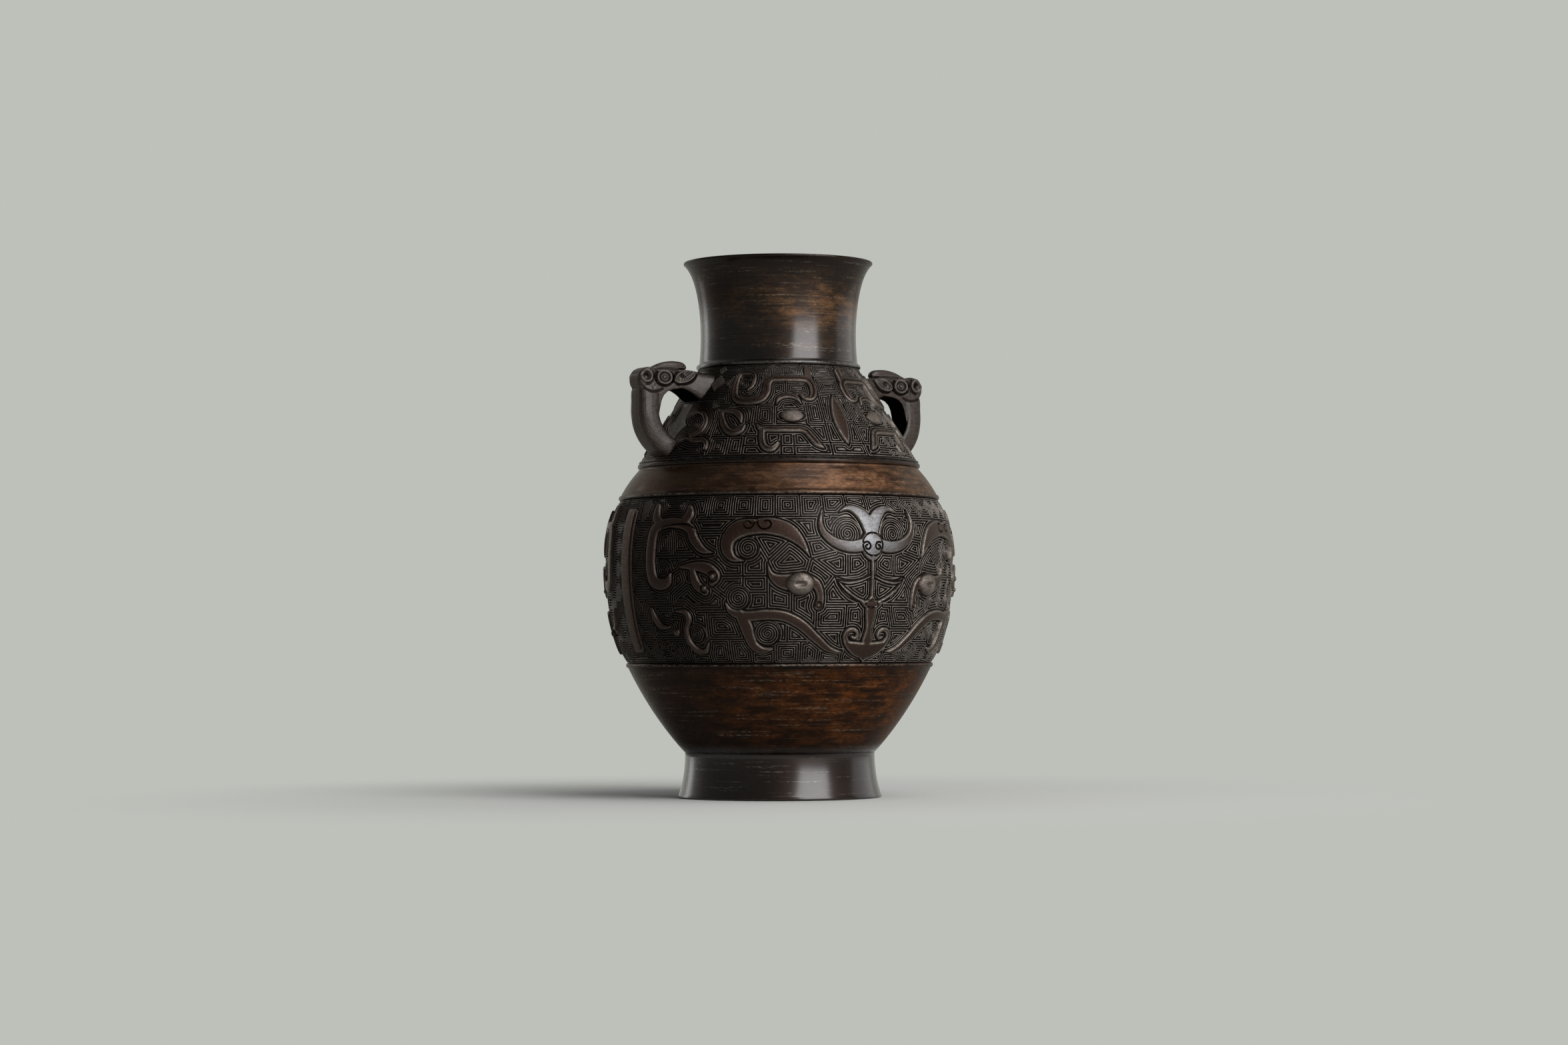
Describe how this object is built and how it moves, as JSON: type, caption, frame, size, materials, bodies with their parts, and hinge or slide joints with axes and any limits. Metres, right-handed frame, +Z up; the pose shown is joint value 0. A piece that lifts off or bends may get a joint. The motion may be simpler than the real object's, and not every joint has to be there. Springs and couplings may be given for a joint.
{
  "type": "bronze vase",
  "caption": "Ovoid bronze vase on a ring foot with a flared neck, relief mask friezes and animal-head handles on its shoulder.",
  "frame": {"origin": "centre of the base, on the plane that the foot stands on", "axes": "+Z up along the vase's axis, the masks face -Y and +Y, the handles lie on -X and +X"},
  "size_m": [0.211, 0.211, 0.32],
  "materials": {
    "patinated_bronze": "waxed dark brown patina",
    "handle_bronze": "worn brown patina"
  },
  "bodies": {
    "root": {"vessel": "patinated_bronze", "left_handle": "handle_bronze", "right_handle": "handle_bronze"}
  },
  "joints": []
}
